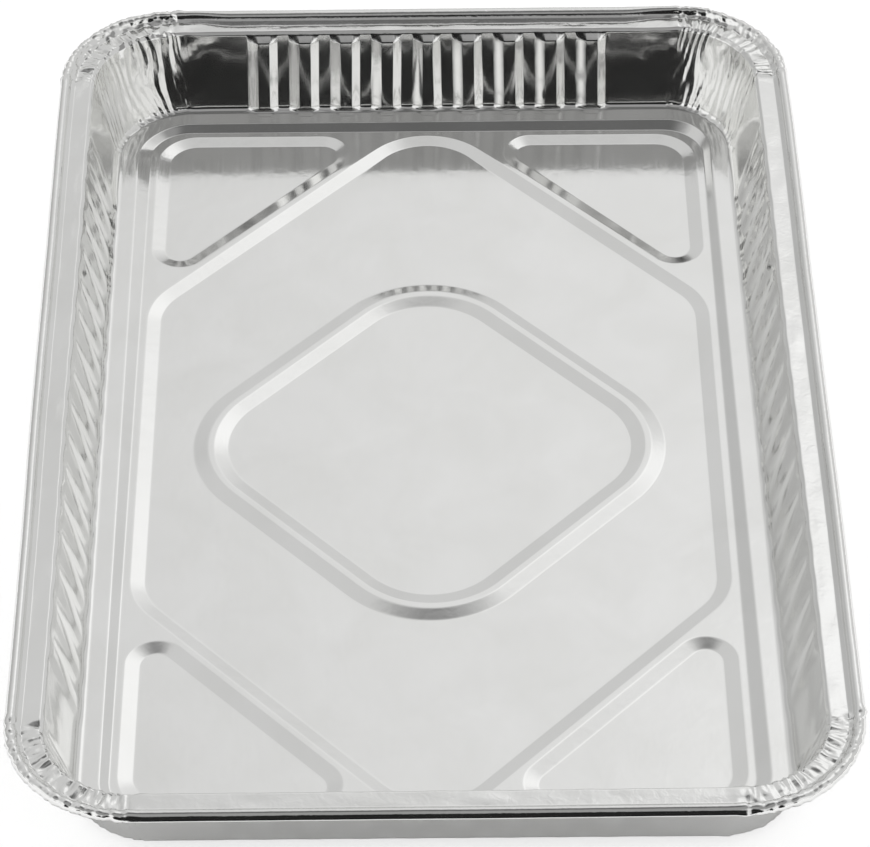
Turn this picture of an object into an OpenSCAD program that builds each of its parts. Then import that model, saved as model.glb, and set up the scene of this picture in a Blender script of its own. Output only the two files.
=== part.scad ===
// Shallow roasting pan pressed from one sheet of aluminium foil.
// Length along Y, width along X, standing on Z = 0 with its centre over the origin.
// The sheet is a skin of nested loops of points, from the middle of the floor out to the
// rolled rim. Its upper face, its lower face and the cut edge in the roll close it.

/* [Size] */
// Width across the rolled rim
pan_w = 230; // [215:5:270]
// Length across the rolled rim
pan_l = 340; // [315:5:420]
// Height from the table to the top of the rolled rim
pan_h = 32.8; // [26:0.2:45]
// Thickness of the foil
foil_t = 0.12; // [0.08:0.01:0.3]

/* [Rim] */
// Corner radius of the rim seen from above
rim_corner_r = 34.5; // [30:0.5:40]
// Radius of the rolled bead
bead_r = 1.6; // [1.2:0.1:2]
// Angle that the sheet turns through in the roll
bead_turn = 300; // [240:5:310]
// Width of the flat flange between the wall and the riser
flange_w = 5.6; // [4:0.1:8]
// Width of the small riser between the flange and the bead
riser_w = 0.9; // [0.6:0.1:1.5]
// Drop of the flange below the centre of the bead
flange_drop = 0.6; // [0:0.1:1]
// Radius of the shoulder where the wall turns into the flange
shoulder_r = 1.2; // [0.6:0.1:2]
// Depth of the crimps in the corners of the flange and the bead
crimp_h = 0.22; // [0:0.02:0.4]

/* [Walls] */
// Slope of the walls from upright, in degrees
wall_draft = 14.8; // [8:0.2:20]
// Radius of the fold at the foot of the walls
foot_r = 2; // [1:0.1:3]
// Corner radius of the foot of the walls seen from above
foot_corner_r = 22; // [18:0.5:26]
// Depth of the gathered pleats in the corners
pleat_depth = 0.9; // [0.3:0.05:1.4]

/* [Ribs] */
// Ribs on each long wall
ribs_side = 17; // [5:2:19]
// Ribs on each short wall
ribs_end = 9; // [3:2:11]
// Distance from one rib to the next
rib_pitch = 13.25; // [11:0.25:13.5]
// How far a rib stands in from the wall
rib_h = 1; // [0.5:0.1:1.6]
// Width of the flat crest of a rib
rib_crest_w = 3.7; // [2.5:0.1:4.5]
// Width of each flank of a rib
rib_flank_w = 2.9; // [1.5:0.1:3.2]
// Height over which a rib rises from the foot of the wall
rib_toe = 2; // [1:0.1:4]
// Height of the sloped cap at the top of a rib
rib_cap = 3.2; // [1.5:0.1:5]
// Plain wall left between the caps and the shoulder
rib_top_gap = 0.4; // [0.2:0.1:3]

/* [Floor] */
// Width of the ledge round the foot of the walls, with its fold
ledge_w = 6.2; // [5:0.1:9]
// Height of the step from the floor's frame up to the ledge
step_h = 1.5; // [0.8:0.1:3]
// Width of that step
step_w = 3.3; // [2:0.1:4]
// Depth of the embossing
emboss_h = 1; // [0.5:0.1:1.6]
// Width of every embossed slope
slope_w = 4.1; // [3:0.1:5]
// Flat strip between the step and the sunk panels along the long sides
margin_side = 2.2; // [1.5:0.1:6]
// Flat strip between the step and the sunk panels along the short sides
margin_end = 1.8; // [1.5:0.1:6]
// Turn of the slanted edges, from square to the pan's width
slant = 44.2; // [42:0.2:47]
// Corner radius of the large panel on the centre line
apex_r = 23; // [16:1:30]
// Corner radius of the large panel at its long sides
panel_side_r = 20; // [12:1:26]
// Raised strip between the large panel and the corner pockets
strip_w = 1.9; // [1.4:0.1:5]
// Radius of a pocket's corner next to the pan's corner
pocket_r = 13; // [10:0.5:14]
// Radius of a pocket's two sharp corners
pocket_tip_r = 9; // [7.5:0.5:11]
// Distance between opposite sides of the raised ring's foot
ring_across = 119; // [90:1:124]
// Corner radius of the raised ring's foot
ring_r = 33; // [24:1:40]
// Width of the flat top of the raised ring
ring_top_w = 1.9; // [1:0.1:4]

/* [Hidden] */

// Straight pieces in each curve
corner_n = 18;
bead_n = 7;
fold_n = 2;
apex_n = 8;
side_n = 5;
pocket_n = 6;
tip_n = 9;
ring_n = 10;
// Points of a pocket's tip up to its very end, a third of the way round it
tip_cut = tip_n / 3;

// Heights of the upper face
z_sunk = foil_t;
z_frame = z_sunk + emboss_h;
z_ledge = z_frame + step_h;
z_bead = pan_h - bead_r;
z_flange = z_bead - flange_drop;
wall_rise = z_flange - z_ledge;

// Distances in from the outer edge of the rim. The roll starts at the angle bead_root.
bead_root = 4 * bead_turn / bead_n;
in_root = bead_r * (1 - cos(bead_root));
in_top = in_root + riser_w + flange_w;
in_foot = in_top + wall_rise * tan(wall_draft);
in_step = in_foot + ledge_w;
in_frame = in_step + step_w;

// Half sizes of the panels, and the offsets of the slanted lines
panel_x = pan_w / 2 - in_frame - margin_side;
panel_y = pan_l / 2 - in_frame - margin_end;
panel_slant = panel_y * sin(slant) + apex_r * (1 - sin(slant));
pocket_slant = panel_slant + strip_w;

// Plan loops run anticlockwise. A plan point is [x, y, nx, ny, key, pleat]: its place, its
// outward direction, a number that grows round the loop, and how far it is drawn in.

function lerp(a, b, f) = a + (b - a) * f;

// Round corner about (x, y) from direction a to direction b, in n straight pieces
function corner(x, y, r, a, b, n, key = 0, turn = 0, pleats = false) = [
    for (k = [0:n])
        let (w = lerp(a, b, k / n))
        [x + r * cos(w), y + r * sin(w), cos(w), sin(w), key + k / n / 2, pleats ? pleat(k, turn) : 0]
];

// Every second point of a corner is drawn in, each by its own amount
function pleat(k, turn) = k % 2 == 0 ? 0 : -0.6 - 0.4 * sin(137.5 * k + 50 * turn);

// Round corner between two lines, given by the directions and offsets of their normals
function bevel(a, c, b, d, r, n, key = 0) =
    let (
        x = ((c - r) * sin(b) - (d - r) * sin(a)) / sin(b - a),
        y = ((d - r) * cos(a) - (c - r) * cos(b)) / sin(b - a)
    )
    corner(x, y, r, a, b, n, key);

// Large panel: two upright sides and four slanted ones
panel_parts = [2 * side_n + 2, apex_n + 1, 2 * side_n + 2, apex_n + 1];
panel_loop = concat(
    bevel(-slant, panel_slant, 0, panel_x, panel_side_r, side_n),
    bevel(0, panel_x, slant, panel_slant, panel_side_r, side_n),
    bevel(slant, panel_slant, 180 - slant, panel_slant, apex_r, apex_n),
    bevel(180 - slant, panel_slant, 180, panel_x, panel_side_r, side_n),
    bevel(180, panel_x, 180 + slant, panel_slant, panel_side_r, side_n),
    bevel(180 + slant, panel_slant, 360 - slant, panel_slant, apex_r, apex_n)
);

// Raised ring: four slanted sides and wide round corners
ring_loop = [
    for (q = [0:3])
        let (a = 90 * q + (q % 2 == 0 ? -slant : slant - 90), b = 90 * q - (q % 2 == 0 ? -slant : slant - 90))
        each bevel(a, ring_across / 2, b, ring_across / 2, ring_r, ring_n)
];

// Pocket in the quarter q: the first tip, the corner and the second tip
function pocket_loop(q) =
    let (
        turn = q < 2 ? 0 : 180,
        even = q % 2 == 0,
        edge = even ? [slant - 180, 0, 90, 180 + slant] : [-slant, 90, 180, 360 - slant],
        off = even ? [panel_x, panel_y] : [panel_y, panel_x]
    )
    concat(
        bevel(turn + edge[0], -pocket_slant, turn + edge[1], off[0], pocket_tip_r, tip_n, q - 1),
        bevel(turn + edge[1], off[0], turn + edge[2], off[1], pocket_r, pocket_n, q),
        bevel(turn + edge[2], off[1], turn + edge[3], -pocket_slant, pocket_tip_r, tip_n, q + 1)
    );
pocket_len = 2 * tip_n + pocket_n + 3;
first_cut = tip_cut;
last_cut = pocket_len - 1 - tip_cut;

// Rounded rectangle at the distance d in from the rim's edge. The sides' marks are points
// [place along the side, distance in], for the short sides and for the long ones.
function outline(d, marks) = [
    for (q = [0:3])
        let (
            r = corner_r(d),
            half = [pan_w / 2 - d, pan_l / 2 - d],
            sx = q == 0 || q == 3 ? 1 : -1,
            sy = q < 2 ? 1 : -1,
            n = [[0, 1], [-1, 0], [0, -1], [1, 0]][q],
            t = [-n[1], n[0]],
            m = marks[q % 2],
            h = q % 2 == 0 ? half[1] : half[0]
        )
        each concat(
            corner(sx * (half[0] - r), sy * (half[1] - r), r, 90 * q, 90 * q + 90, corner_n, q, q, true),
            [
                for (i = [0:1:len(m) - 1])
                    let (p = n * (h - m[i][1]) + t * m[i][0])
                    [p[0], p[1], n[0], n[1], q + 0.5 + (i + 1) / (len(m) + 1) / 2, 0]
            ]
        )
];
function corner_r(d) =
    d <= in_top ? rim_corner_r - d
    : d < in_foot ? lerp(rim_corner_r - in_top, foot_corner_r, (d - in_top) / (in_foot - in_top))
    : foot_corner_r - (d - in_foot);

// Marks of the ribs, with the crests a part f of their full height in from the wall
function rib_row(count, f) = [
    for (i = [0:count - 1], c = [[-1, 0], [-1, 1], [1, 0], [1, 1]])
        let (
            side = c[0],
            crest = side < 0 ? c[1] == 1 : c[1] == 0,
            u = (i - (count - 1) / 2) * rib_pitch + side * (rib_crest_w / 2 + (crest ? 0 : rib_flank_w))
        )
        [u, crest ? f * rib_h : 0]
];
function rib_marks(f) = [rib_row(ribs_end, f), rib_row(ribs_side, f)];
no_marks = [[], []];

// Marks on the floor's frame, level with the ends of the pockets' tips
end_mark = pocket_loop(0)[last_cut][0];
side_mark = pocket_loop(0)[first_cut][1];
tip_marks = [[[-end_mark, 0], [end_mark, 0]], [[-side_mark, 0], [side_mark, 0]]];

// A row of the section through the sheet is [d, z, out, up, marks]: its distance out from the
// plan loop, its height, how far a pleat moves it, and the marks of its loop.
bend = 90 - wall_draft;
foot_len = foot_r * tan(bend / 2);
shoulder_len = shoulder_r * tan(bend / 2);
toe_z = foot_len * cos(wall_draft) + rib_toe;
cap_z = wall_rise - shoulder_len * cos(wall_draft) - rib_top_gap;
function wall_row(z, out, marks) = [-in_foot + z * tan(wall_draft), z_ledge + z, out, 0, marks];

slope_rows = [[-slope_w, z_sunk, 0, 0], [0, z_frame, 0, 0]];
ring_rows = [
    [-2 * slope_w - ring_top_w, z_sunk, 0, 0],
    [-slope_w - ring_top_w, z_frame, 0, 0],
    [-slope_w, z_frame, 0, 0],
    [0, z_sunk, 0, 0]
];
side_rows = concat(
    [[-in_frame, z_frame, 0, 0, tip_marks], [-in_step, z_ledge, 0, 0, no_marks]],
    [
        for (k = [0:fold_n])
            let (a = bend * k / fold_n)
            [
                -in_foot - foot_len + foot_r * sin(a), z_ledge + foot_r * (1 - cos(a)),
                0.1 * pleat_depth * k / fold_n, 0, k == fold_n ? rib_marks(0) : no_marks
            ]
    ],
    [
        wall_row(toe_z, 0.4 * pleat_depth, rib_marks(1)),
        wall_row(cap_z - rib_cap, pleat_depth, rib_marks(1)),
        wall_row(cap_z, 0.9 * pleat_depth, rib_marks(0))
    ],
    [
        for (k = [fold_n + 1:-1:0])
            let (f = k / (fold_n + 1), a = bend * f)
            [
                -in_top + shoulder_len - shoulder_r * sin(a), z_flange - shoulder_r * (1 - cos(a)),
                0.8 * pleat_depth * f, crimp_h * (1 - f), no_marks
            ]
    ],
    [[-in_root - riser_w, z_flange, 0, crimp_h, no_marks]],
    [
        for (k = [0:bead_n])
            let (a = bead_root - bead_turn * k / bead_n)
            [
                bead_r * (cos(a) - 1), z_bead + bead_r * sin(a),
                crimp_h * cos(a), crimp_h * sin(a), no_marks
            ]
    ]
);

// Where each row of a section lies on the lower face: a mitred offset by the foil's thickness
function normal(a, b) = let (v = b - a) [-v[1], v[0]] / norm(v);
function lowered(rows, open_end = false) =
    let (
        p = [for (r = rows) [r[0], r[1]]],
        n = len(p),
        far = [1, 0],
        q = concat([p[0] - far], p, [open_end ? 2 * p[n - 1] - p[n - 2] : p[n - 1] + far])
    )
    [
        for (i = [1:n])
            let (a = normal(q[i - 1], q[i]), b = normal(q[i], q[i + 1]))
            -foil_t * (a + b) / (1 + a * b)
    ];

// Points of a loop at a row, moved by s within the section
function place(loop, d, row, s) = [
    for (p = loop)
        let (w = d + s[0] + row[2] * p[5])
        [p[0] + p[2] * w, p[1] + p[3] * w, row[1] + s[1] + row[3] * p[5]]
];
function stack(loop, rows, low) = [
    for (i = [0:len(rows) - 1]) each place(loop, rows[i][0], rows[i], low ? lowered(rows)[i] : [0, 0])
];
side_loops = [for (r = side_rows) outline(-r[0], r[4])];
side_shift = lowered(side_rows, true);
function skin(low) = concat(
    stack(ring_loop, ring_rows, low),
    stack(panel_loop, slope_rows, low),
    [for (q = [0:3]) each stack(pocket_loop(q), slope_rows, low)],
    [for (i = [0:len(side_rows) - 1]) each place(side_loops[i], 0, side_rows[i], low ? side_shift[i] : [0, 0])]
);

// Chains of point numbers with their keys, and the triangles between two chains. Each step
// goes on along the chain whose next piece has its middle first.
function run(first, n, ks) = [[for (i = [0:n - 1]) first + i], [for (i = [0:n - 1]) ks[i]]];
function even_keys(ids) = [ids, [for (i = [0:len(ids) - 1]) i / (len(ids) - 1)]];
function closed(first, ks, lap) =
    [concat([for (i = [0:len(ks) - 1]) first + i], [first]), concat(ks, [ks[0] + lap])];
function on_inner(i, j, a, b) =
    j >= len(b[1]) - 1 || (i < len(a[1]) - 1 && a[1][i] + a[1][i + 1] <= b[1][j] + b[1][j + 1]);
function between(a, b) = [
    for (
        i = 0, j = 0;
        i < len(a[0]) - 1 || j < len(b[0]) - 1;
        s = on_inner(i, j, a, b), i = s ? i + 1 : i, j = s ? j : j + 1
    )
        on_inner(i, j, a, b) ? [a[0][i], a[0][i + 1], b[0][j]] : [a[0][i], b[0][j + 1], b[0][j]]
];
// Keys of a loop round the middle of the floor
function polar(loop) = [
    for (i = [0:len(loop) - 1])
        let (a = atan2(loop[i][1], loop[i][0]))
        a < 0 && i > len(loop) / 4 ? a + 360 : a
];
function own_keys(loop) = [for (p = loop) p[4]];
function count_keys(loop) = [for (i = [0:len(loop) - 1]) i];
function sum_to(v, n) = n <= 0 ? 0 : v[n - 1] + sum_to(v, n - 1);

// First point number of each loop
ring_len = len(ring_loop);
panel_len = len(panel_loop);
panel_at = 4 * ring_len;
pockets_at = panel_at + 2 * panel_len;
sides_at = pockets_at + 8 * pocket_len;
side_lens = [for (l = side_loops) len(l)];
side_at = [for (i = [0:len(side_lens)]) sides_at + sum_to(side_lens, i)];
point_count = side_at[len(side_lens)];
function pocket_at(q) = pockets_at + 2 * pocket_len * q;

ring_faces = [
    [for (i = [ring_len - 1:-1:0]) i],
    for (r = [0:2])
        each between(
            closed(r * ring_len, count_keys(ring_loop), ring_len),
            closed((r + 1) * ring_len, count_keys(ring_loop), ring_len)
        ),
    each between(closed(3 * ring_len, polar(ring_loop), 360), closed(panel_at, polar(panel_loop), 360)),
    each between(
        closed(panel_at, count_keys(panel_loop), panel_len),
        closed(panel_at + panel_len, count_keys(panel_loop), panel_len)
    )
];
function pocket_faces(q) =
    let (at = pocket_at(q), ks = count_keys(pocket_loop(q)))
    concat(
        [[for (i = [pocket_len - 1:-1:0]) at + i]],
        between(closed(at, ks, pocket_len), closed(at + pocket_len, ks, pocket_len))
    );

// The flat frame, a quarter at a time: between the pocket and the step, between the pocket
// and the large panel, and between the panel and the step beyond the pocket's first tip
block = corner_n + 3;
function mark(side, i) = side_at[0] + ((side + 4) % 4) * block + corner_n + 1 + i;
function frame_faces(q) =
    let (
        outer = pocket_at(q) + pocket_len,
        ks = own_keys(pocket_loop(q)),
        rim = own_keys(side_loops[0]),
        part = panel_at + panel_len + sum_to(panel_parts, q),
        part_end = part + panel_parts[q] - 1,
        next = panel_at + panel_len + sum_to(panel_parts, q + 1) % panel_len,
        corner_ids = [for (i = [0:corner_n]) side_at[0] + q * block + i],
        pocket_ids = [for (i = [first_cut:last_cut]) outer + i],
        back_ids = [for (i = [first_cut:-1:last_cut - pocket_len]) outer + (i + pocket_len) % pocket_len],
        first = mark(q - 1, 1),
        last = mark(q, 0)
    )
    concat(
        between(
            [pocket_ids, [for (i = [first_cut:last_cut]) ks[i]]],
            [
                concat([first], corner_ids, [last]),
                concat([q - 1 / 6], [for (i = [0:corner_n]) rim[q * block + i]], [q + 0.5 + 1 / 6])
            ]
        ),
        between(even_keys([part_end, next]), even_keys(back_ids)),
        between(even_keys([for (i = [part:part_end]) i]), even_keys([mark(q - 1, 0), first])),
        [[part_end, outer + first_cut, first], [next, last, outer + last_cut]]
    );

side_faces = [
    for (i = [0:len(side_loops) - 2])
        each between(
            closed(side_at[i], own_keys(side_loops[i]), 4),
            closed(side_at[i + 1], own_keys(side_loops[i + 1]), 4)
        )
];
upper_faces = concat(
    ring_faces,
    [for (q = [0:3]) each concat(pocket_faces(q), frame_faces(q))],
    side_faces
);
lower_faces = [for (f = upper_faces) [for (i = [len(f) - 1:-1:0]) f[i] + point_count]];
edge_faces =
    let (at = side_at[len(side_lens) - 1], n = side_lens[len(side_lens) - 1])
    [
        for (i = [0:n - 1])
            let (a = at + i, b = at + (i + 1) % n)
            each [[a, b, b + point_count], [a, b + point_count, a + point_count]]
    ];

// The pressed sheet
module foil_pan() {
    color("silver")
        polyhedron(
            points = concat(skin(false), skin(true)),
            faces = concat(upper_faces, lower_faces, edge_faces)
        );
}

foil_pan();
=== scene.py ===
"""Foil roasting pan: the pressed sheet with its folds, its metal, the studio and the camera."""

import math

import bpy
import numpy as np
from mathutils import Matrix, Vector, noise
from mathutils.geometry import delaunay_2d_cdt


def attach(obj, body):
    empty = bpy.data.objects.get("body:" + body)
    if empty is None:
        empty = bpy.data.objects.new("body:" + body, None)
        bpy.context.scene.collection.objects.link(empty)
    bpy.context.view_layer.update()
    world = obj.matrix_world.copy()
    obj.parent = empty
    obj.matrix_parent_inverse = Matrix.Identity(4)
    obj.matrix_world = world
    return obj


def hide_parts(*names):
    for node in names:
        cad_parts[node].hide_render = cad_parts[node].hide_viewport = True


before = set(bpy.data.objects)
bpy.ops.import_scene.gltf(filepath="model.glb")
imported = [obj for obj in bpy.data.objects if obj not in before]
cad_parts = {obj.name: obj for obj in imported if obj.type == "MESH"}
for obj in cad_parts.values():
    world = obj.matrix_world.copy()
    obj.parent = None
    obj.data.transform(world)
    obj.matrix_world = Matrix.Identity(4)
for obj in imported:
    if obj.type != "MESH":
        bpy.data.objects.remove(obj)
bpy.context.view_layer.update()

MM = 0.001
PI = math.pi

# ---------------------------------------------------------------- sizes, in mm
# These repeat the sizes in the part's source.
HALF_W, HALF_L, PAN_H = 115.0, 170.0, 32.8
FOIL = 0.12
BEAD_R, BEAD_TURN, BEAD_ROOT = 1.6, 300.0, 171.4
RISER_W, FLANGE_W, FLANGE_DROP = 0.9, 5.6, 0.6
LEDGE_W, STEP_W = 6.2, 3.3
Z_SUNK = FOIL
Z_FRAME = Z_SUNK + 1.0
Z_LEDGE = Z_FRAME + 1.5
Z_BEAD = PAN_H - BEAD_R
Z_FLANGE = Z_BEAD - FLANGE_DROP
DRAFT = math.radians(14.8)
# Insets from the outside of the rim
IN_ROOT = BEAD_R * (1 - math.cos(math.radians(BEAD_ROOT)))
IN_TOP = IN_ROOT + RISER_W + FLANGE_W
IN_FOOT = IN_TOP + (Z_FLANGE - Z_LEDGE) * math.tan(DRAFT)
IN_STEP = IN_FOOT + LEDGE_W
IN_FRAME = IN_STEP + STEP_W
RIM_R, FOOT_R = 34.5, 22.0

RIB_PITCH, RIB_CREST, RIB_FLANKS = 13.25, 3.6, (2.6, 3.5)
RIBS_LONG, RIBS_SHORT = 17, 9

# The floor's embossing: a sunk panel with a raised ring in it, and a sunk pocket in each corner
SLANT = math.radians(44.2)
SLOPE_W = 4.1
PANEL_X = HALF_W - IN_FRAME - 2.2
PANEL_Y = HALF_L - IN_FRAME - 1.8
APEX_R, PANEL_SIDE_R = 23.0, 20.0
PANEL_OFF = PANEL_Y * math.sin(SLANT) + APEX_R * (1 - math.sin(SLANT))
POCKET_OFF = PANEL_OFF + 1.9
POCKET_R, TIP_R = 13.0, 9.0
RING_OFF, RING_R, RING_TOP = 59.5, 33.0, 1.9


def smooth(x):
    x = np.clip(x, 0, 1)
    return x * x * (3 - 2 * x)


def soft_min(a, b, k):
    """The lesser of a and b, rounded where they meet."""
    h = np.clip(0.5 + 0.5 * (b - a) / k, 0, 1)
    return b * (1 - h) + a * h - k * h * (1 - h)


# Blender's noise stays mostly within 0.6 of zero, so this spreads it from about -1 to 1.
NOISE_SPREAD = 1.6


def perlin(points, size, seed):
    """Smooth noise, about -1 to 1, at points in mm; size is its wavelength."""
    shift = 37.7 * seed
    values = [noise.noise((x / size + shift, y / size - shift, z / size)) for x, y, z in points]
    return np.array(values) * NOISE_SPREAD


def field(s, v, size, seed):
    """Smooth noise over the unrolled wall, about -1 to 1; size is its wavelength along and up."""
    along, up = size
    values = [noise.noise((a / along + 31.7 * seed, v / up - 17.3 * seed, seed)) for a in s]
    return np.array(values) * NOISE_SPREAD


# ---------------------------------------------------------------- section through the sheet
def folded(points, radii, spacing, turn, guard):
    """Rows (out, z) along a line of points with round folds. Each fold is cut into pieces of turn
    degrees and has a row close by on either side, so that the flats next to it stay flat."""
    pts = [np.array(p, float) for p in points]
    rows = [pts[0]]

    def run_to(end, step):
        """Rows on the straight to end, step mm apart, or at the distances in step that end more
        than half a millimetre before it."""
        start = rows[-1]
        length = np.linalg.norm(end - start)
        if isinstance(step, tuple):
            cuts = [c / length for c in step if c < length - 0.5] + [1]
        else:
            n = max(1, int(round(length / step)))
            cuts = [k / n for k in range(1, n + 1)]
        for c in cuts:
            rows.append(start + (end - start) * c)

    for i in range(1, len(pts) - 1):
        a, b = pts[i] - pts[i - 1], pts[i + 1] - pts[i]
        a, b = a / np.linalg.norm(a), b / np.linalg.norm(b)
        side = a[0] * b[1] - a[1] * b[0]
        angle = math.atan2(side, a @ b)
        reach = radii[i - 1] * math.tan(abs(angle) / 2)
        start, end = pts[i] - a * reach, pts[i] + b * reach
        if np.linalg.norm(start - rows[-1]) > 2 * guard:
            run_to(start - a * guard, spacing[i - 1])
        rows.append(start)
        n = max(1, math.ceil(math.degrees(abs(angle)) / turn))
        centre = start + radii[i - 1] * math.copysign(1, side) * np.array([-a[1], a[0]])
        x, z = start - centre
        for k in range(1, n + 1):
            cos_w, sin_w = math.cos(angle * k / n), math.sin(angle * k / n)
            rows.append(centre + np.array([x * cos_w - z * sin_w, x * sin_w + z * cos_w]))
        rows.append(end + b * guard)
    run_to(pts[-1], spacing[-1])
    return np.array(rows)


def section_normals(rows):
    """Upper-face normals (out, z) of a line of rows."""
    t = np.gradient(rows, axis=0)
    n = np.stack([-t[:, 1], t[:, 0]], 1)
    return n / np.linalg.norm(n, axis=1, keepdims=True)


# Rows up the wall, closer where the caps of the ribs break and end
WALL_CUTS = (1.5, 4.2, 6.6, 9.2, 11.8, 14.4, 16.8, 19.0, 21.0, 22.9, 23.2, 23.5, 24.7)
# The wall stands this far in at its top and out at its foot, as the ribs take up the rest.
TOP_IN, FOOT_OUT = 0.45, 0.4
# The shoulder is a small bevel that starts below the flange, out from the wall's top.
Z_SHOULDER = Z_FLANGE + 0.1
BEVEL_BACK, BEVEL_H, BEVEL_W = 0.25, 0.95, 0.64
# The flange sinks a little towards the ramp that climbs to the bead.
RAMP_W, DROOP = 1.3, 0.35
bead_start = (-IN_ROOT, Z_BEAD + BEAD_R * math.sin(math.radians(BEAD_ROOT)) - 0.25)
side_rows = folded(
    [
        (-IN_FRAME - 1.0, Z_FRAME),
        (-IN_FRAME, Z_FRAME),
        (-IN_STEP, Z_LEDGE),
        (-IN_FOOT + FOOT_OUT, Z_LEDGE),
        (-IN_TOP - TOP_IN - BEVEL_BACK, Z_SHOULDER - BEVEL_H),
        (-IN_TOP - TOP_IN + BEVEL_W, Z_SHOULDER),
        (-IN_ROOT - RAMP_W, Z_SHOULDER - DROOP),
        bead_start,
    ],
    radii=[0.9, 1.1, 2.3, 0.5, 0.5, 0.35],
    spacing=[3, 3, 3, WALL_CUTS, 2, 1.5, 0.6],
    turn=19,
    guard=0.35,
)[1:]
bead_turns = np.append(np.linspace(BEAD_ROOT, -52, 11), (-90, BEAD_ROOT - BEAD_TURN))
bead_angles = np.radians(bead_turns)
bead_rows = np.stack(
    [BEAD_R * (np.cos(bead_angles) - 1), Z_BEAD + BEAD_R * np.sin(bead_angles)], 1
)
side_rows = np.concatenate([side_rows, bead_rows[1:]])
row_n = section_normals(side_rows)
row_s = np.concatenate([[0], np.cumsum(np.linalg.norm(np.diff(side_rows, axis=0), axis=1))])
# How far each row of the front's bead is moved (out, up)
FRONT_ROLL = ((0, 0),) * 5 + (
    (0, -0.02),
    (0.08, -0.12),
    (0.38, -0.46),
    (0.46, -0.05),
    (0.61, 0.45),
    (0.61, 0.58),
    (0.2, 0.30),
    (0, 0),
)

# The first rows that have the columns of the wall and of the rim, just above the ledge and just
# below the flange
wall_first = int(np.argmax(side_rows[:, 1] > Z_LEDGE + 0.25))
rim_first = int(np.argmax(side_rows[:, 1] > Z_FLANGE - 0.75))

# Distances along the section where the wall starts and ends
off_ledge = np.abs(side_rows[:, 1] - Z_LEDGE - 0.2)
on_step = side_rows[:, 0] < -IN_FOOT - 3
wall_s0 = row_s[int(np.argmin(off_ledge + 100 * on_step))]
off_shoulder = np.hypot(side_rows[:, 0] + IN_TOP + TOP_IN, side_rows[:, 1] - Z_FLANGE)
wall_s1 = row_s[int(np.argmin(off_shoulder))]
WALL_LEN = wall_s1 - wall_s0


# ---------------------------------------------------------------- plan
# Quarter q is the corner and then the side of the pan that follow each other anticlockwise:
# 0 back right and back, 1 back left and left, 2 front left and front, 3 front right and right.
BACK, FRONT = 0, 2
# Half the straight part of a short and of a long side, for the spacing and the order of columns
EVEN_HALF, KEY_HALF = (76, 131), (78.0, 133.0)


def corner_radius(d):
    """Radius of the corners at inset d from the rim's outside."""
    if d <= IN_TOP:
        return RIM_R - d
    if d < IN_FOOT:
        f = (d - IN_TOP) / (IN_FOOT - IN_TOP)
        return (RIM_R - IN_TOP) * (1 - f) + FOOT_R * f
    return FOOT_R - (d - IN_FOOT)


def rib_count(q):
    return RIBS_LONG if q % 2 else RIBS_SHORT


def last_mark(q):
    """Distance from a side's middle to the foot of its last rib."""
    return (rib_count(q) - 1) / 2 * RIB_PITCH + RIB_CREST / 2 + RIB_FLANKS[1] + 0.8


def from_middle(q, p, end):
    """Distance from a side's middle for place p, where the side is straight as far as end."""
    mark = last_mark(q)
    return p * mark if abs(p) <= 1 else math.copysign(mark + (abs(p) - 1) * (end - mark), p)


def columns(corner_n, places):
    """Columns round the pan as rows (quarter, in corner, place). The place is 0 to 1 in a corner,
    and -2 to 2 on a side, where -1 to 1 are the ribs."""
    out = []
    for q in range(4):
        out += [(q, 1, k / corner_n) for k in range(corner_n + 1)]
        out += [(q, 0, p) for p in places(q)]
    return np.array(out)


def even_places(q):
    """Places on a side about 4 mm apart."""
    n = max(2, int(round(2 * EVEN_HALF[q % 2] / 4.0)))
    return [-2 + 4 * k / n for k in range(1, n)]


def rib_places(cuts, plain_n=9):
    """Places on a side at the cuts (mm from its middle) of each rib, and even beyond the ribs."""

    def places(q):
        count, mark = rib_count(q), last_mark(q)
        middles = [(i - (count - 1) / 2) * RIB_PITCH for i in range(count)]
        marks = sorted(m + c for m in middles for c in cuts if abs(m + c) < mark)
        before = [-2 + k / plain_n for k in range(1, plain_n)]
        after = [1 + k / plain_n for k in range(1, plain_n)]
        return before + [-1] + [m / mark for m in marks] + [1] + after

    return places


def column_keys(cols):
    """A number that grows round the pan, from 0 to 4."""
    keys = []
    for q, in_corner, p in cols:
        if in_corner:
            keys.append(q + 0.5 * p)
        else:
            end = KEY_HALF[int(q) % 2]
            keys.append(q + 0.75 + 0.25 * from_middle(q, p, end) / end)
    return np.array(keys)


def on_row(cols, d):
    """Points (x, y), outward directions and distances along the side for columns at inset d."""
    r = corner_radius(d)
    pts, out, along = [], [], []
    for q, in_corner, p in cols:
        q = int(q)
        if in_corner:
            sx, sy = (1 if q in (0, 3) else -1), (1 if q < 2 else -1)
            w = math.radians(90 * (q + p))
            n = (math.cos(w), math.sin(w))
            pts.append((sx * (HALF_W - d - r) + r * n[0], sy * (HALF_L - d - r) + r * n[1]))
            along.append(0.0)
        else:
            n = ((0, 1), (-1, 0), (0, -1), (1, 0))[q]
            half = (HALF_L, HALF_W)[q % 2] - d
            u = from_middle(q, p, (HALF_W, HALF_L)[q % 2] - d - r)
            pts.append((n[0] * half - n[1] * u, n[1] * half + n[0] * u))
            along.append(u)
        out.append(n)
    return np.array(pts), np.array(out), np.array(along)


# Corners are unrolled as if their radius were this one on every row, so that folds run upright.
REF_R = 25.0
CORNER_HALF = PI / 4 * REF_R
NOT_NEAR = 1e9


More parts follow.
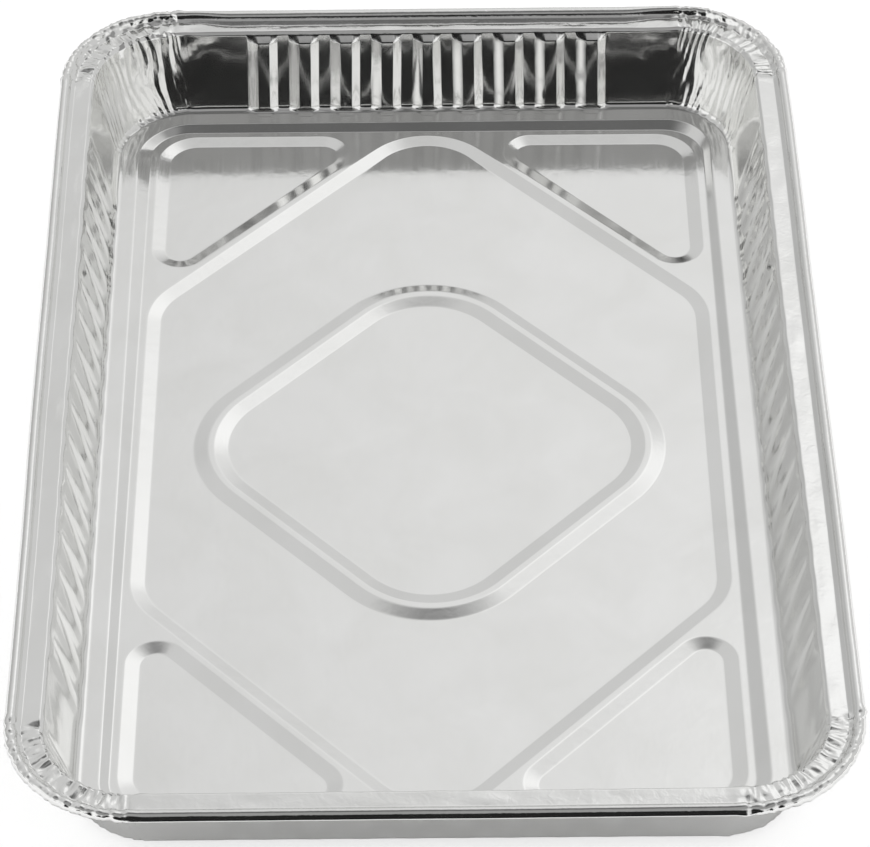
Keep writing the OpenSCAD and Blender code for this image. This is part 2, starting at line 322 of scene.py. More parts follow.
def round_corner(cols, corner, d):
    """Distance along the unrolled wall from the middle of a corner, where that is near."""
    r = corner_radius(d)
    s = np.full(len(cols), NOT_NEAR)
    for i, (q, in_corner, p) in enumerate(cols):
        q = int(q)
        if in_corner and q == corner:
            s[i] = (p - 0.5) * PI / 2 * REF_R
        elif not in_corner:
            end = (HALF_W, HALF_L)[q % 2] - d - r
            u = from_middle(q, p, end)
            if q == corner and u < 0:
                s[i] = CORNER_HALF + (u + end)
            elif q == (corner - 1) % 4 and u > 0:
                s[i] = -CORNER_HALF - (end - u)
    return s


# ---------------------------------------------------------------- folds pressed into the sheet
# How far the ribs rise from the wall on the short and on the long sides
RIB_RISE_SHORT, RIB_RISE_LONG = 1.42, 0.50
# The front's ribs are lower than the back's and start higher up the wall.
FRONT_SHARE = 0.6
RIB_ROUND = 0.07
# Where the ribs' ends start, above the wall's foot or below its top, and the height they rise over
WAVE_FOOT, WAVE_TOP = (-1.0, 4.5), (0.6, 2.2)
TOE_FRONT, TOE_BACK, CAP = (1.0, 3.0), (-0.1, 1.3), (1.15, 2.4)


def ribs(cols, along, v):
    """Height of the ribs at v mm up the wall: a soft wave on the long sides, and on the short sides
    a flat crest with even flanks and hipped ends."""
    out = np.zeros(len(cols))
    for q in range(4):
        count = rib_count(q)
        sel = (cols[:, 0] == q) & (cols[:, 1] == 0)
        u = along[sel]
        i = np.clip(np.round(u / RIB_PITCH + (count - 1) / 2), 0, count - 1)
        off = u - (i - (count - 1) / 2) * RIB_PITCH
        if q % 2:
            wave = 0.5 + 0.5 * np.cos(2 * PI * np.clip(off / RIB_PITCH, -0.5, 0.5))
            foot = smooth((v - WAVE_FOOT[0]) / WAVE_FOOT[1])
            top = smooth((WALL_LEN - WAVE_TOP[0] - v) / WAVE_TOP[1])
            out[sel] = RIB_RISE_LONG * wave * foot * top
            continue
        start, rise = TOE_FRONT if q == FRONT else TOE_BACK
        toe = (v - start) / rise
        top = (WALL_LEN - CAP[0] - v) / CAP[1]
        wide = np.where(off > 0, RIB_FLANKS[1], RIB_FLANKS[0])
        flank = (RIB_CREST / 2 + wide - np.abs(off)) / wide
        h = soft_min(soft_min(flank, top, RIB_ROUND), toe, RIB_ROUND)
        h = soft_min(h, np.ones_like(h), RIB_ROUND)
        out[sel] = np.where(h > 0, h, 0) * RIB_RISE_SHORT * (FRONT_SHARE if q == FRONT else 1.0)
    return out


def zigzag(x):
    """Triangular wave from -1 to 1, one fold per unit of x."""
    return 4 * np.abs(x - np.floor(x + 0.5)) - 1


# How strongly each corner's wall is gathered, and the depth of the crumples on its flange: back
# right, back left, front left, front right
GATHER = (1.6, 2.1, 1.5, 1.5)
RUMPLE = (0.32, 0.40, 0.30, 0.26)
# Distance from a corner's middle to where its gathers end
EDGE = CORNER_HALF + 1.0
# Depths of the folds of a corner's wall, before the gathering, and how wide the upright ones are
WALL_COARSE, WALL_FINE, WALL_CRUMPLE, WALL_BUCKLE = 0.20, 0.085, 0.05, 0.40
COARSE_WIDTH, FINE_WIDTH = 3.3, 1.75
# The long creases of the front-left corner: where they start, from its middle, their depth and
# width, and how far they lean outwards for each mm down the wall, each next one more
CREASES = (8.5, 13.0, 17.0)
CREASE_DEPTH, CREASE_WIDTH = 0.42, 0.55
CREASE_LEAN, MORE_LEAN = 0.17, 0.05


def wall_folds(s, v, q):
    """Gathered upright folds of a corner's wall, at s mm from its middle and v mm up the wall."""
    seed = 5 + 3 * q
    far = np.abs(s)
    # 0 at the wall's foot and 1 at its top
    w = min(max(v / WALL_LEN, 0), 1)
    # Each fold is uneven in depth, and the upright ones wander to the side.
    wander = field(s, v, (9, 15), seed)
    coarse = zigzag(s / COARSE_WIDTH + 0.85 * wander)
    coarse = coarse * (0.55 + 0.45 * field(s, v, (7, 18), seed + 0.4))
    fine = zigzag(s / FINE_WIDTH + 1.0 * field(s, v, (5, 9), seed + 0.7))
    fine = fine * (0.5 + 0.6 * field(s, v, (4, 7), seed + 0.9))
    crumple = field(s, v, (3.0, 4.5), seed + 1.3)
    out = WALL_COARSE * coarse + WALL_FINE * fine + WALL_CRUMPLE * crumple
    out = out * smooth((EDGE + 3 - far) / 5)
    # Broad buckles run slanting out of the corner, strongest below the rim.
    beside = smooth((EDGE + 17 - far) / 12) * smooth((far - EDGE + 7) / 6)
    buckle = field(far * 0.75 - v * 0.65, 0, (7, 1), seed + 2.1)
    buckle = buckle * (0.5 + 0.6 * field(s, v, (12, 8), seed + 2.5))
    out += WALL_BUCKLE * buckle * beside * smooth((w - 0.25) / 0.5)
    if q == FRONT:
        # Long creases run down and away from the corner.
        for k, start in enumerate(CREASES):
            at = s - start - (WALL_LEN - v) * (CREASE_LEAN + MORE_LEAN * k)
            depth = CREASE_DEPTH * np.exp(-((at / CREASE_WIDTH) ** 2))
            out -= depth * smooth((w - 0.12 - 0.1 * k) / 0.2)
    # All of them end at the wall's foot and just beyond its top.
    return out * smooth(w / 0.07) * smooth((1.08 - w) / 0.08) * GATHER[q]


def tucks(x, seed):
    """Puffed panels between sharp creases, one for each unit of x, each with its own height."""
    own = field(np.floor(x) * 3.7, 0, (1, 1), seed + 0.2)
    return (np.abs(np.sin(PI * x)) ** 0.6 - 0.7) * (0.85 + 0.6 * own)


# Depths of the tucks and the small folds on the flange and on the bead, and of the bead's crumples
FLANGE_TUCK, FLANGE_SMALL = 0.36, 0.12
BEAD_TUCK, BEAD_SMALL, BEAD_CRUMPLE = 0.42, 0.13, 0.20
FLANGE_TUCK_WIDTH, BEAD_TUCK_WIDTH, SMALL_WIDTH = 2.4, 2.6, 1.35
# The fold that ends a corner's gathers
HEM, HEM_WIDTH = 0.40, 0.5


def rim_folds(s, past, q):
    """Tucks and crumples of a corner's flange and bead, at past mm beyond the shoulder."""
    seed = 40 + 3 * q
    far = np.abs(s)
    ends = smooth((EDGE - far) / 0.7)
    wander = field(s, past, (4, 6), seed)
    small = zigzag(s / SMALL_WIDTH + 0.8 * field(s, past, (2.5, 3), seed + 0.5))
    cross = field(s, past, (2.2, 2.0), seed + 0.8)
    # The flange's folds fade out where the bead's fade in.
    flange = smooth((past + 0.6) / 1.3) * smooth((8.2 - past) / 1.5)
    bead = smooth((past - 6.6) / 0.8) * smooth((14.5 - past) / 2.0)
    flange_tucks = FLANGE_TUCK * tucks(s / FLANGE_TUCK_WIDTH + 0.45 * wander, seed)
    bead_tucks = BEAD_TUCK * tucks(s / BEAD_TUCK_WIDTH + 0.3 * wander, seed + 0.3)
    folds = flange * (flange_tucks + FLANGE_SMALL * small + RUMPLE[q] * cross)
    folds += bead * (bead_tucks + BEAD_SMALL * small + BEAD_CRUMPLE * cross)
    hem = HEM * np.exp(-(((far - EDGE + 0.6) / HEM_WIDTH) ** 2))
    hem = hem * smooth((past + 0.3) / 1.0) * smooth((13 - past) / 2)
    return ends * folds + hem


# How far from a corner's gathers its buckles still reach
BUCKLE_REACH = 18
# Where the flange ends and the bead starts, from the shoulder
FLANGE_END, BEAD_BEGIN = 5.6, 6.2
# The shoulder's swell and how far it reaches, the flange's dents (in step with the ribs, and
# loose), and how uneven the bead is
SWELL, SWELL_REACH = 0.10, 2.2
DENT_EVEN, DENT_LOOSE = 0.05, 0.16
BEAD_UNEVEN = 0.03
# Insets of the rim, and where the back's rim has them; how far the changed beads of the back and
# of the front reach to each side, and over what length they fade
BACK_BEAD = ((0, 3.2, 4.5, 8.7), (0, 4.2, 6.3, 8.7))
BACK_BEAD_HALF, FRONT_BEAD_HALF = (75, 12), (87, 7)
# The front's bead lies before this line.
FRONT_LINE = -150


def displaced(cols, j):
    """Points of the upper face at row j, with every fold on it."""
    d, z = -side_rows[j][0], side_rows[j][1]
    xy, out, along = on_row(cols, d)
    v = row_s[j] - wall_s0
    w = v / WALL_LEN
    past = row_s[j] - wall_s1
    up = np.zeros(len(cols))
    push = np.zeros(len(cols))
    if 0 < w < 1:
        up += ribs(cols, along, v)
    for q in range(4):
        s = round_corner(cols, q, d)
        near = np.abs(s) < EDGE + BUCKLE_REACH
        if -0.02 < w < 1.12:
            up[near] += wall_folds(s[near], v, q)
        if past > -0.8:
            up[near] += rim_folds(s[near], past, q)
    # The shoulder's line swells in step with the ribs, and the flange has soft dents.
    side = cols[:, 1] == 0
    count = np.array([rib_count(q) for q in cols[:, 0]])
    phase = 2 * PI * (along / RIB_PITCH + (count - 1) / 2)
    mark = np.array([last_mark(q) for q in cols[:, 0]])
    ribbed = side * smooth((mark + 2 - np.abs(along)) / 5)
    push -= SWELL * math.exp(-((past / SWELL_REACH) ** 2)) * ribbed * np.cos(phase)
    if 0 < past < FLANGE_END:
        loose = field(along + 0.8 * past, past, (5.5, 4), 71)
        dent = DENT_EVEN * np.cos(phase) + DENT_LOOSE * loose
        up += ribbed * math.sin(PI * past / FLANGE_END) * dent
    # The bead is a little uneven along its length.
    if past > BEAD_BEGIN:
        up += BEAD_UNEVEN * field(along + 200 * cols[:, 0], past, (4, 3), 83) * side
    # The bead of the back is rolled wider and flatter.
    wider = np.interp(d, *BACK_BEAD) - d
    if wider > 0:
        half, fade = BACK_BEAD_HALF
        on_back = (cols[:, 0] == BACK) & side
        push -= np.where(on_back, wider * smooth((half - np.abs(along)) / fade), 0)
    # The bead of the front turns down to a sharp edge, and its outer face is rolled in under it.
    drop = np.zeros(len(cols))
    k = j - (len(side_rows) - len(bead_rows))
    if k > 0:
        half, fade = FRONT_BEAD_HALF
        rolled = (xy[:, 1] < FRONT_LINE) * smooth((half - np.abs(xy[:, 0])) / fade)
        push += FRONT_ROLL[k][0] * rolled
        drop = -FRONT_ROLL[k][1] * rolled
    n_out, n_up = row_n[j]
    pts = np.empty((len(cols), 3))
    pts[:, :2] = xy + out * (n_out * up + push)[:, None]
    pts[:, 2] = z + n_up * up - drop
    return pts


# ---------------------------------------------------------------- the floor
# Distances between the points of a loop on its straights, its wide corners, and the pockets'
# corners and tips
STRAIGHT_GAP, WIDE_GAP, POCKET_GAP, TIP_GAP = 3.8, 1.9, 1.4, 1.2


def bend(a, c, b, d, r, gap):
    """Round corner between two lines, given by the directions a and b and the offsets c and d of
    their normals."""
    s = math.sin(b - a)
    x = ((c - r) * math.sin(b) - (d - r) * math.sin(a)) / s
    y = ((d - r) * math.cos(a) - (c - r) * math.cos(b)) / s
    n = max(4, math.ceil((b - a) * r / gap))
    angles = [a + (b - a) * k / n for k in range(n + 1)]
    return [(x + r * math.cos(w), y + r * math.sin(w), w) for w in angles]


def closed_loop(corners):
    """One loop (x, y, nx, ny) of the corners, with the straights between them divided."""
    loop = []
    for i, corner in enumerate(corners):
        loop += corner
        a, b = corner[-1], corners[(i + 1) % len(corners)][0]
        n = max(1, int(round(math.hypot(b[0] - a[0], b[1] - a[1]) / STRAIGHT_GAP)))
        loop += [
            (a[0] + (b[0] - a[0]) * k / n, a[1] + (b[1] - a[1]) * k / n, a[2]) for k in range(1, n)
        ]
    loop = np.array(loop)
    return np.stack([loop[:, 0], loop[:, 1], np.cos(loop[:, 2]), np.sin(loop[:, 2])], 1)


def polygon(lines, radii):
    """Loop inside lines (direction and offset of the normal), with a round corner from each line to
    the next."""
    corners = []
    for i, r in enumerate(radii):
        (a, c), (b, d) = lines[i], lines[(i + 1) % len(lines)]
        corners.append(bend(a, c, b if b > a else 2 * PI + b, d, r, WIDE_GAP))
    return closed_loop(corners)


panel_loop = polygon(
    [
        (-SLANT, PANEL_OFF),
        (0, PANEL_X),
        (SLANT, PANEL_OFF),
        (PI - SLANT, PANEL_OFF),
        (PI, PANEL_X),
        (PI + SLANT, PANEL_OFF),
    ],
    (PANEL_SIDE_R, PANEL_SIDE_R, APEX_R) * 2,
)
ring_loop = polygon([(w, RING_OFF) for w in (-SLANT, SLANT, PI - SLANT, PI + SLANT)], (RING_R,) * 4)


def pocket_loop(q):
    """Loop of one of the four corner pockets, which is a triangle beside the panel."""
    turn = 0 if q < 2 else PI
    if q % 2 == 0:
        edge, off = (SLANT - PI, 0, PI / 2, PI + SLANT), (PANEL_X, PANEL_Y)
    else:
        edge, off = (-SLANT, PI / 2, PI, 2 * PI - SLANT), (PANEL_Y, PANEL_X)
    return closed_loop(
        [
            bend(turn + edge[0], -POCKET_OFF, turn + edge[1], off[0], TIP_R, TIP_GAP),
            bend(turn + edge[1], off[0], turn + edge[2], off[1], POCKET_R, POCKET_GAP),
            bend(turn + edge[2], off[1], turn + edge[3], -POCKET_OFF, TIP_R, TIP_GAP),
        ]
    )


def slope_section(points):
    """Rows (out, z) of an embossed line's slopes, without the flats beyond them."""
    bends = len(points) - 2
    return folded(points, [1.7] * bends, [9] * (bends + 1), turn=7.0, guard=0.4)[1:-1]


slope_rows = slope_section(
    [(-SLOPE_W - 2, Z_SUNK), (-SLOPE_W, Z_SUNK), (0, Z_FRAME), (2, Z_FRAME)]
)
ring_rows = slope_section(
    [
        (-2 * SLOPE_W - RING_TOP - 2, Z_SUNK),
        (-2 * SLOPE_W - RING_TOP, Z_SUNK),
        (-SLOPE_W - RING_TOP, Z_FRAME),
        (-SLOPE_W, Z_FRAME),
        (0, Z_SUNK),
        (2, Z_SUNK),
    ]
)


def inside(loop, pts):
    """Which points lie inside a closed loop."""
    x, y = pts[:, 0][:, None], pts[:, 1][:, None]
    x0, y0 = loop[:, 0], loop[:, 1]
    x1, y1 = np.roll(x0, -1), np.roll(y0, -1)
    rise = np.where(y1 == y0, 1e-9, y1 - y0)
    crossed = ((y0 > y) != (y1 > y)) & (x < (x1 - x0) * (y - y0) / rise + x0)
    return crossed.sum(1) % 2 == 1


def moved(loop, by):
    """A loop's points (x, y), moved outwards."""
    return loop[:, :2] + loop[:, 2:] * by


# ---------------------------------------------------------------- mesh of the sheet
CORNER_COLUMNS, FLOOR_CORNER_COLUMNS = 78, 24
WALL_RIB_CUTS = (-4.6, -4.2, -3.1, -2.0, -1.65, 1.65, 2.0, 3.55, 5.1, 5.5)
RIM_RIB_CUTS = (-6.625, -3.3, 0.0, 3.3)
edge_cols = columns(FLOOR_CORNER_COLUMNS, even_places)
wall_cols = columns(CORNER_COLUMNS, rib_places(WALL_RIB_CUTS))
rim_cols = columns(CORNER_COLUMNS, rib_places(RIM_RIB_CUTS))

verts, faces = [], []


def add_verts(pts):
    """Add vertices and return the number of the first."""
    first = sum(len(v) for v in verts)
    verts.append(np.asarray(pts, float))
    return first


def zip_rows(a, ka, b, kb):
    """Triangles between two closed rows of vertex numbers with keys from 0 to 4."""
    ia, ib = list(a) + [a[0]], list(b) + [b[0]]
    ka, kb = list(ka) + [ka[0] + 4], list(kb) + [kb[0] + 4]
    i = j = 0
    while i < len(a) or j < len(b):
        if j >= len(b) or (i < len(a) and ka[i] + ka[i + 1] <= kb[j] + kb[j + 1]):
            faces.append((ia[i], ib[j], ia[i + 1]))
            i += 1
        else:
            faces.append((ia[i], ib[j], ib[j + 1]))
            j += 1


groups = [
    edge_cols if j < wall_first else wall_cols if j < rim_first else rim_cols
    for j in range(len(side_rows))
]
row_ids = []
for j, cols in enumerate(groups):
    first = add_verts(displaced(cols, j))
    row_ids.append(np.arange(first, first + len(cols)))
for j in range(len(groups) - 1):
    a, b = row_ids[j], row_ids[j + 1]
    if groups[j] is groups[j + 1]:
        faces.extend(zip(a, b, np.roll(b, -1), np.roll(a, -1)))
    else:
        zip_rows(a, column_keys(groups[j]), b, column_keys(groups[j + 1]))

# The floor inside the first row: the loops of the embossing and a loose filling of points
floor_pts, floor_z, floor_edges = [], [], []


def add_loop(pts, z):
    first = sum(len(p) for p in floor_pts)
    n = len(pts)
    floor_pts.append(pts)
    floor_z.append(np.full(n, z))
    floor_edges.extend((first + i, first + (i + 1) % n) for i in range(n))


# Distances of the filling's points, and how far they keep from the loops and the slopes
FILL_X, FILL_Y = 6.4, 5.6
CLEAR, SLOPE_CLEAR = 2.1, 0.5
rim_of_floor = verts[0][:, :2]
add_loop(rim_of_floor, Z_FRAME)
pocket_loops = [pocket_loop(q) for q in range(4)]
embossed = [(ring_loop, ring_rows, 2 * SLOPE_W + RING_TOP), (panel_loop, slope_rows, SLOPE_W)]
embossed += [(loop, slope_rows, SLOPE_W) for loop in pocket_loops]
for loop, rows, _ in embossed:
    for out_by, z in rows:
        add_loop(moved(loop, out_by), z)
made = np.concatenate(floor_pts)
fill = np.array(
    [
        (x + (FILL_X / 2 if k % 2 else 0), y)
        for k, y in enumerate(np.arange(-144, 144.1, FILL_Y))
        for x in np.arange(-93.6, 93.7, FILL_X)
    ]
)
fill = fill[inside(rim_of_floor, fill)]
fill = fill[np.array([np.min(np.hypot(*(made - p).T)) for p in fill]) > CLEAR]
# None of the filling's points may stand on a slope.
sloped = np.zeros(len(fill), bool)
for loop, _, width in embossed:
    outer, inner = moved(loop, SLOPE_CLEAR), moved(loop, -(width + SLOPE_CLEAR))
    sloped |= inside(outer, fill) & ~inside(inner, fill)
fill = fill[~sloped]
sunk = inside(panel_loop[:, :2], fill)
for loop in pocket_loops:
    sunk |= inside(loop[:, :2], fill)
floor_xy = np.concatenate([made, fill])
heights = np.concatenate(floor_z + [np.where(sunk, Z_SUNK, Z_FRAME)])
co, _, tris, orig, _, _ = delaunay_2d_cdt([Vector(p) for p in floor_xy], floor_edges, [], 0, 1e-6)
if len(co) != len(floor_xy):
    raise RuntimeError("the floor's loops cross or meet")
# The first row is there already, so the floor's own vertices start after it.
shared = len(rim_of_floor)
first = add_verts(np.column_stack([floor_xy[shared:], heights[shared:]])) - shared
ids = [n if n < shared else first + n for n in range(len(floor_xy))]
faces.extend(tuple(ids[orig[i][0]] for i in t) for t in tris)

upper = np.concatenate(verts)

# What lies below this height stands on the table or close above it.
LOW = 3.2
# Heights and lengths of the slow waves, the longest first, and how strongly they work: the part
# below WAVE_CUT leaves the floor where it is
WAVE_LONG, WAVE_MIDDLE, WAVE_SHORT = (0.10, 70), (0.022, 21), (0.006, 8)
WAVE_CUT, FLOOR_LIFT, WALL_SWAY = -0.05, 0.6, 1.6


def waved(pts):
    """The sheet's slow waves: they only lift the floor, and sway the walls and the rim."""
    wave = WAVE_LONG[0] * perlin(pts * [1, 1, 0.3], WAVE_LONG[1], 3)
    wave = wave + WAVE_MIDDLE[0] * perlin(pts, WAVE_MIDDLE[1], 5)
    wave = wave + WAVE_SHORT[0] * perlin(pts, WAVE_SHORT[1], 9)
    low = pts[:, 2] < LOW
    out = pts.copy()
    out[low, 2] += np.maximum(wave - WAVE_CUT, 0)[low] * FLOOR_LIFT
    share = np.abs(pts[:, :2]) / (HALF_W, HALF_L)
    axis = (share[:, 1] > share[:, 0]).astype(int)
    sway = wave * smooth((pts[:, 2] - LOW) / 6) * WALL_SWAY
    index = np.arange(len(pts))
    out[index[~low], axis[~low]] += (sway * np.sign(pts[index, axis]))[~low]
    return out


# How the rim stands against the floor: turned (radians), its back end pinched, leaned in and sunk
# (mm); and how far the back's ribs stand to the right, and the front's foot out
TWIST, BACK_PINCH, BACK_LEAN, BACK_SINK = 0.0052, 0.3, 0.9, 0.5
BACK_RIBS_RIGHT, FRONT_FOOT_OUT, FRONT_FOOT_SKEW = 1.4, 0.45, 0.0047


def settled(pts):
    """The pan as it stands, a little bent by hand."""
    x, y, z = pts.T
    high = smooth((z - 3.0) / 24)
    side = smooth((z - 1.2) / 1.4)
    back = smooth((y - 110) / 50)
    front_foot = smooth((-y - 141) / 9) * (1 - smooth((z - 2) / 27))
    out = pts.copy()
    out[:, 0] += -TWIST * y * side - BACK_PINCH * high * np.sign(x) * smooth((y - 60) / 100)
    out[:, 1] += TWIST * x * side - BACK_LEAN * high * back
    out[:, 2] -= high * BACK_SINK * back
    out[:, 0] += BACK_RIBS_RIGHT * side * smooth((y - 130) / 14) * smooth((104 - np.abs(x)) / 26)
    out[:, 1] -= (FRONT_FOOT_OUT + FRONT_FOOT_SKEW * x) * front_foot
    return out


def vertex_normals(pts, polys):
    tri = np.array([(f[0], f[k], f[k + 1]) for f in polys for k in range(1, len(f) - 1)])
    a, b, c = pts[tri[:, 0]], pts[tri[:, 1]], pts[tri[:, 2]]
    cross = np.cross(b - a, c - a)
    n = np.zeros_like(pts)
    for k in range(3):
        np.add.at(n, tri[:, k], cross)
    return n / np.linalg.norm(n, axis=1, keepdims=True)


# The lower face runs one thickness below the upper, and the cut edge in the roll joins them.
upper = settled(waved(upper))
count = len(upper)
lower = upper - vertex_normals(upper, faces) * FOIL
all_pts = np.concatenate([upper, lower])
all_faces = faces + [tuple(count + i for i in reversed(f)) for f in faces]
last = row_ids[-1]
for a, b in zip(last, np.roll(last, -1)):
    all_faces.append((a, count + a, count + b, b))

mesh = bpy.data.meshes.new("foil_sheet")
mesh.from_pydata((all_pts * MM).tolist(), [], [tuple(int(i) for i in f) for f in all_faces])
mesh.validate()
mesh.polygons.foreach_set("use_smooth", [True] * len(mesh.polygons))
sheet = bpy.data.objects.new("foil_sheet", mesh)
bpy.context.scene.collection.objects.link(sheet)
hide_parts("foil_pan")
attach(sheet, "root")


# ---------------------------------------------------------------- nodes
def node_tree(owner):
    owner.use_nodes = True
    owner.node_tree.nodes.clear()
    return owner.node_tree


def node(tree, kind, inputs, **settings):
    """A new node with its settings and inputs, which are values or other nodes' outputs."""
    made = tree.nodes.new("ShaderNode" + kind)
    for name, value in settings.items():
        setattr(made, name, value)
    for key, value in inputs.items():
        if isinstance(value, bpy.types.NodeSocket):
            tree.links.new(value, made.inputs[key])
        else:
            made.inputs[key].default_value = value
    return made


def maths(tree, kind, a, b=0.0, c=0.0):
    return node(tree, "Math", {0: a, 1: b, 2: c}, operation=kind).outputs[0]


def ramp(tree, value, start, end, low=0.0, high=1.0, kind="LINEAR"):
    """From low to high while the value goes from start to end, and level beyond."""
    inputs = {"Value": value, "From Min": start, "From Max": end, "To Min": low, "To Max": high}
    return node(tree, "MapRange", inputs, interpolation_type=kind).outputs["Result"]


# ---------------------------------------------------------------- the metal
foil = bpy.data.materials.new("foil")
tree = node_tree(foil)
place = node(tree, "TexCoord", {}).outputs["Object"]


def grain(stretch, scale, detail, wander):
    """Noise over the sheet; scale is in waves a metre, stretch shortens it along an axis."""
    mapped = node(tree, "Mapping", {"Vector": place, "Scale": stretch}).outputs["Vector"]
    inputs = {"Vector": mapped, "Scale": scale, "Detail": detail, "Distortion": wander}
    return node(tree, "TexNoise", inputs).outputs["Fac"]


def between(value, low, high):
    """The noise's usual range, 0.3 to 0.7, spread from low to high."""
    return ramp(tree, value, 0.3, 0.7, low, high)


ALIKE, ROLLED = (1.0, 1.0, 1.0), (1.0, 0.03, 1.0)
DULL_TINT, BRIGHT_TINT = (0.855, 0.855, 0.84, 1), (0.905, 0.905, 0.895, 1)
RIM_DENTS_FROM, RIM_DENTS_FULL = 28.5, 30.0
DENT_DEPTH, GRAIN_DEPTH = 0.03, 0.002
rolling = grain(ROLLED, 2400, 3, 0.0)
smudges = grain(ALIKE, 38, 4, 0.6)
dents = grain(ALIKE, 210, 2, 0.4)
rim_dents = between(grain(ALIKE, 330, 2, 0.8), 0.0, 0.8)

tints = {"A": DULL_TINT, "B": BRIGHT_TINT, "Factor": between(smudges, 0, 1)}
tint = node(tree, "Mix", tints, data_type="RGBA").outputs["Result"]
rough = maths(tree, "ADD", between(smudges, 0.09, 0.13), between(rolling, -0.02, 0.03))

# The rim, bent most, has more small dents than the rest.
height = node(tree, "SeparateXYZ", {"Vector": place}).outputs["Z"]
on_rim = ramp(tree, height, RIM_DENTS_FROM * MM, RIM_DENTS_FULL * MM)
all_dents = maths(tree, "ADD", dents, maths(tree, "MULTIPLY", rim_dents, on_rim))
dented = {"Distance": DENT_DEPTH * MM, "Height": all_dents}
dented = node(tree, "Bump", dented).outputs["Normal"]
grained = {"Distance": GRAIN_DEPTH * MM, "Height": rolling, "Normal": dented}
grained = node(tree, "Bump", grained).outputs["Normal"]
metal = {"Metallic": 1.0, "Base Color": tint, "Roughness": rough, "Normal": grained}
surface = node(tree, "BsdfPrincipled", metal)
node(tree, "OutputMaterial", {"Surface": surface.outputs["BSDF"]})
mesh.materials.append(foil)


# ---------------------------------------------------------------- studio
def toward(azimuth, elevation):
    """Unit vector; azimuth 0 is behind the pan and 90 is its right."""
    a, e = math.radians(azimuth), math.radians(elevation)
    return (math.sin(a) * math.cos(e), math.cos(a) * math.cos(e), math.sin(e))


world = bpy.data.worlds.new("studio")
bpy.context.scene.world = world
tree = node_tree(world)
ray = node(tree, "TexCoord", {}).outputs["Generated"]


def lobe(centre, full, gone):
    """1 within full degrees of a direction in the world, 0 beyond gone degrees."""
    dot = node(tree, "VectorMath", {0: ray, 1: toward(*centre)}, operation="DOT_PRODUCT")
    start, end = math.cos(math.radians(gone)), math.cos(math.radians(full))
    return ramp(tree, dot.outputs["Value"], start, end, kind="SMOOTHSTEP")


# The studio is a white room with brighter lamps (direction, full and gone in degrees, how much they
# add) and darker shades (the same, and what share of the light they keep).
ROOM = 0.65
LAMPS = (
    ((16, 44), 4, 22, 0.17),
    ((29, 50), 8, 17, 0.21),
    ((-120, 20), 12, 36, 0.36),
    ((132, 12), 10, 30, 0.28),
)
SHADES = (
    ((-52, 20), 5, 34, 0.75),
    ((180, 76), 28, 38, 0.51),
    ((110, 62), 14, 28, 0.88),
    ((-110, 62), 14, 28, 0.88),
    ((0, 88), 4, 17, 0.4),
    ((-178, 13), 23, 34, 0.025),
)
level = ROOM
for centre, full, gone, more in LAMPS:
    level = maths(tree, "MULTIPLY_ADD", lobe(centre, full, gone), more, level)
for centre, full, gone, keep in SHADES:
    shade = maths(tree, "MULTIPLY", lobe(centre, full, gone), keep - 1)
    level = maths(tree, "MULTIPLY", level, maths(tree, "ADD", shade, 1.0))
sky = node(tree, "Background", {"Strength": level, "Color": (1, 1, 1, 1)})
node(tree, "OutputWorld", {"Surface": sky.outputs[0]})

STAGE_HALF = 6
corners = [(x * STAGE_HALF, y * STAGE_HALF, 0) for x, y in ((-1, -1), (1, -1), (1, 1), (-1, 1))]
floor_mesh = bpy.data.meshes.new("studio_floor")
floor_mesh.from_pydata(corners, [], [(0, 1, 2, 3)])
table = bpy.data.objects.new("studio_floor", floor_mesh)
bpy.context.scene.collection.objects.link(table)
table.location.z = -0.2 * MM
floor_mat = bpy.data.materials.new("studio_floor")
tree = node_tree(floor_mat)
diffuse = node(tree, "BsdfDiffuse", {"Color": (0.9, 0.9, 0.9, 1)})
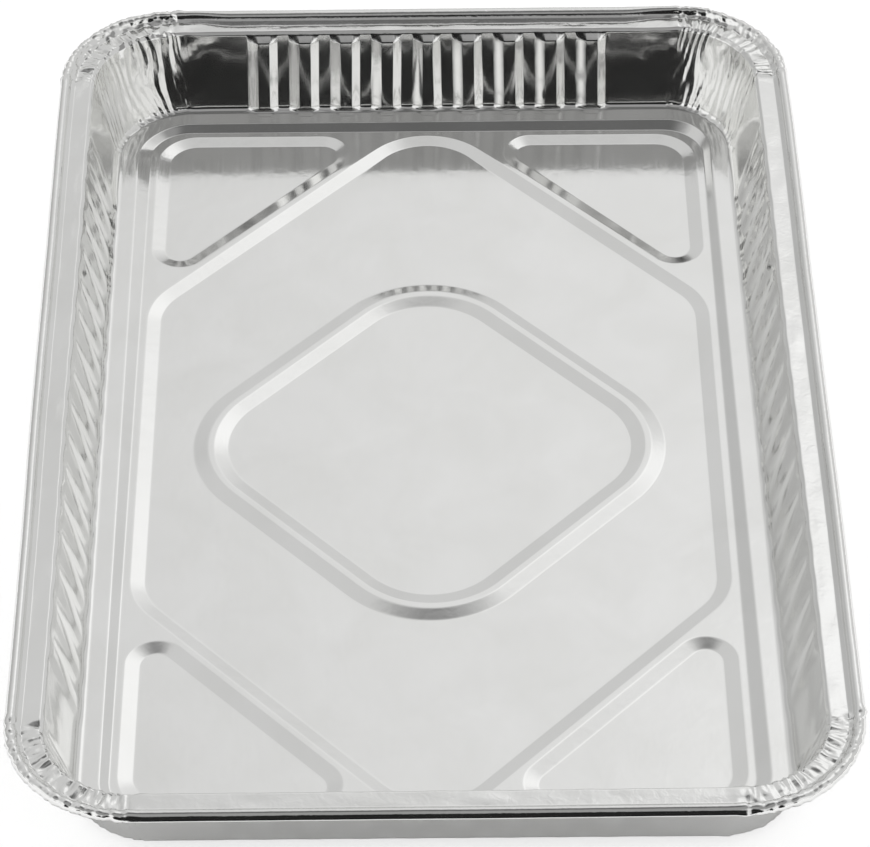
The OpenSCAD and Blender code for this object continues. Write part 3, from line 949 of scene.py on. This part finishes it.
# The floor also glows, for the camera and in reflections. In reflections an ambient-occlusion
# factor dims the glow
# beside the pan: a painted shadow of the pan in the floor's glow, not one cast by the lamps.
SHADOW_REACH, SHADOW_POWER = 0.09, 2.2
GLOW_MIRRORED, GLOW_SEEN = 0.54, 0.6
rays = node(tree, "LightPath", {}).outputs
shadow = node(tree, "AmbientOcclusion", {"Distance": SHADOW_REACH}, samples=8)
# Painted shadow: ambient occlusion, raised to a power, dims the reflected glow beside the pan.
painted_shadow_fade = maths(tree, "POWER", shadow.outputs["AO"], SHADOW_POWER)
mirrored = maths(tree, "MAXIMUM", rays["Is Glossy Ray"], rays["Is Transmission Ray"])
mirrored = maths(tree, "MULTIPLY", maths(tree, "MULTIPLY", mirrored, painted_shadow_fade), GLOW_MIRRORED)
seen = maths(tree, "MULTIPLY", rays["Is Camera Ray"], GLOW_SEEN)
glow = node(tree, "Emission", {"Strength": maths(tree, "MAXIMUM", mirrored, seen)})
both = node(tree, "AddShader", {0: diffuse.outputs[0], 1: glow.outputs[0]})
node(tree, "OutputMaterial", {"Surface": both.outputs[0]})
floor_mesh.materials.append(floor_mat)

bpy.context.scene.view_settings.view_transform = "Standard"

# ---------------------------------------------------------------- camera
# Fitted to the edges of the rim and the floor in the photo, which is 870 pixels wide
CAM_AT = Vector((-2.326, -835.846, 790.674 + Z_BEAD)) * MM
PITCH, YAW, ROLL = 0.77134, -0.0047, -0.00442
FOCAL_PX, WIDTH_PX = 3946.28, 870
SENSOR = 36
cam_data = bpy.data.cameras.new("photo_camera")
cam_data.sensor_width = SENSOR
cam_data.lens = SENSOR * FOCAL_PX / WIDTH_PX
cam_data.clip_start = 0.01
cam = bpy.data.objects.new("photo_camera", cam_data)
ahead = Vector((0, math.cos(PITCH), -math.sin(PITCH)))
above = Vector((0, math.sin(PITCH), math.cos(PITCH)))
right = Vector((1, 0, 0))
rolled_right = math.cos(ROLL) * right + math.sin(ROLL) * above
rolled_above = -math.sin(ROLL) * right + math.cos(ROLL) * above
turn = Matrix.Rotation(YAW, 3, "Z")
axes = Matrix((turn @ rolled_right, turn @ rolled_above, turn @ -ahead)).transposed()
cam.matrix_world = Matrix.Translation(CAM_AT) @ axes.to_4x4()
bpy.context.scene.collection.objects.link(cam)
bpy.context.scene.camera = cam
